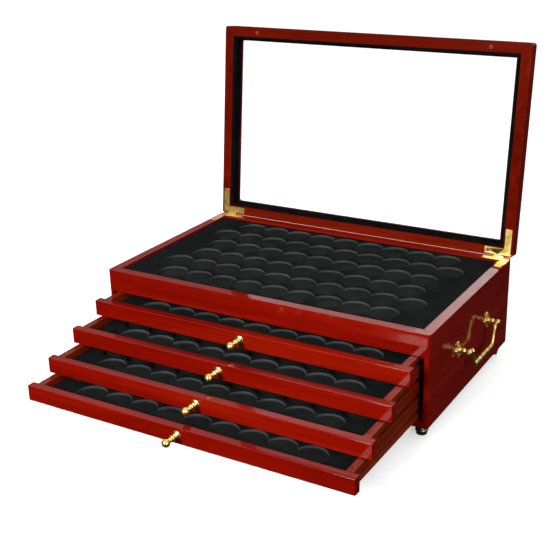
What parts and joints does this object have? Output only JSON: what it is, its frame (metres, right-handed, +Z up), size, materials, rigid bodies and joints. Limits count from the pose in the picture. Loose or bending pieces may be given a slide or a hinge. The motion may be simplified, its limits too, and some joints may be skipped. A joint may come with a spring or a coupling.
{
  "type": "coin display chest",
  "caption": "Lacquered wooden coin chest: hinged glass lid over a fixed recessed coin tray, with sliding coin drawers, ball knobs, bail handles and turned feet.",
  "frame": {"origin": "on the ground, at the middle of the stored pose's outline, with the lid open and the drawers drawn out like stairs", "axes": "+Z up, +Y from the drawer fronts to the hinged back, +X to the right as seen from the front"},
  "size_m": [0.5414, 0.5761, 0.4509],
  "materials": {
    "lacquered_wood": "high gloss clear lacquer over cherry-red stained wood",
    "inner_wood": "satin, red-stained plywood and hardwood",
    "flocked_tray": "matt charcoal flocking",
    "velvet": "black velvet",
    "brass": "polished",
    "aged_brass": "dark, aged",
    "steel": "zinc plated",
    "rubber": "matt",
    "glass": "clear polished"
  },
  "bodies": {
    "case": {"case_back": "lacquered_wood", "case_base_rail": "lacquered_wood", "case_bottom": "inner_wood", "case_front_rail": "lacquered_wood", "case_side_left": "lacquered_wood", "case_side_right": "lacquered_wood", "drawer_runners_left": "inner_wood", "drawer_runners_right": "inner_wood", "feet": "aged_brass", "foot_pads": "rubber", "foot_screws": "steel", "handle_posts_left": "brass", "handle_posts_right": "brass", "hinge_case_leaf_left": "brass", "hinge_case_leaf_right": "brass", "hinge_case_screws": "brass", "hinge_pins": "brass", "top_tray_insert": "flocked_tray", "tray_deck": "inner_wood"},
    "lid": {"hinge_lid_leaf_left": "brass", "hinge_lid_leaf_right": "brass", "hinge_lid_screws": "brass", "lid_bumpers": "rubber", "lid_glass": "glass", "lid_liner": "velvet", "lid_rail_back": "lacquered_wood", "lid_rail_front": "lacquered_wood", "lid_stile_left": "lacquered_wood", "lid_stile_right": "lacquered_wood"},
    "drawer_1": {"drawer_1_back": "lacquered_wood", "drawer_1_bottom": "inner_wood", "drawer_1_front": "lacquered_wood", "drawer_1_insert": "flocked_tray", "drawer_1_knob": "brass", "drawer_1_side_left": "lacquered_wood", "drawer_1_side_right": "lacquered_wood"},
    "drawer_2": {"drawer_2_back": "lacquered_wood", "drawer_2_bottom": "inner_wood", "drawer_2_front": "lacquered_wood", "drawer_2_insert": "flocked_tray", "drawer_2_knob": "brass", "drawer_2_side_left": "lacquered_wood", "drawer_2_side_right": "lacquered_wood"},
    "drawer_3": {"drawer_3_back": "lacquered_wood", "drawer_3_bottom": "inner_wood", "drawer_3_front": "lacquered_wood", "drawer_3_insert": "flocked_tray", "drawer_3_knob": "brass", "drawer_3_side_left": "lacquered_wood", "drawer_3_side_right": "lacquered_wood"},
    "drawer_4": {"drawer_4_back": "lacquered_wood", "drawer_4_bottom": "inner_wood", "drawer_4_front": "lacquered_wood", "drawer_4_insert": "flocked_tray", "drawer_4_knob": "brass", "drawer_4_side_left": "lacquered_wood", "drawer_4_side_right": "lacquered_wood"},
    "handle_left": {"handle_bail_left": "brass"},
    "handle_right": {"handle_bail_right": "brass"}
  },
  "joints": [
    {"name": "lid_hinge", "type": "hinge", "parent": "case", "child": "lid", "pos_m": [0, 0.2333, 0.1477], "axis": [-1, 0, 0], "range_deg": [-96.2, 0]},
    {"name": "drawer_1_slide", "type": "slide", "parent": "case", "child": "drawer_1", "axis": [0, -1, 0], "range_m": [-0.042, 0.168]},
    {"name": "drawer_2_slide", "type": "slide", "parent": "case", "child": "drawer_2", "axis": [0, -1, 0], "range_m": [-0.094, 0.116]},
    {"name": "drawer_3_slide", "type": "slide", "parent": "case", "child": "drawer_3", "axis": [0, -1, 0], "range_m": [-0.147, 0.063]},
    {"name": "drawer_4_slide", "type": "slide", "parent": "case", "child": "drawer_4", "axis": [0, -1, 0], "range_m": [-0.19, 0.02]},
    {"name": "handle_left_swing", "type": "hinge", "parent": "case", "child": "handle_left", "pos_m": [-0.2665, 0.0813, 0.088], "axis": [0, 1, 0], "range_deg": [-20, 100]},
    {"name": "handle_right_swing", "type": "hinge", "parent": "case", "child": "handle_right", "pos_m": [0.2665, 0.0813, 0.088], "axis": [0, -1, 0], "range_deg": [-20, 100]}
  ]
}
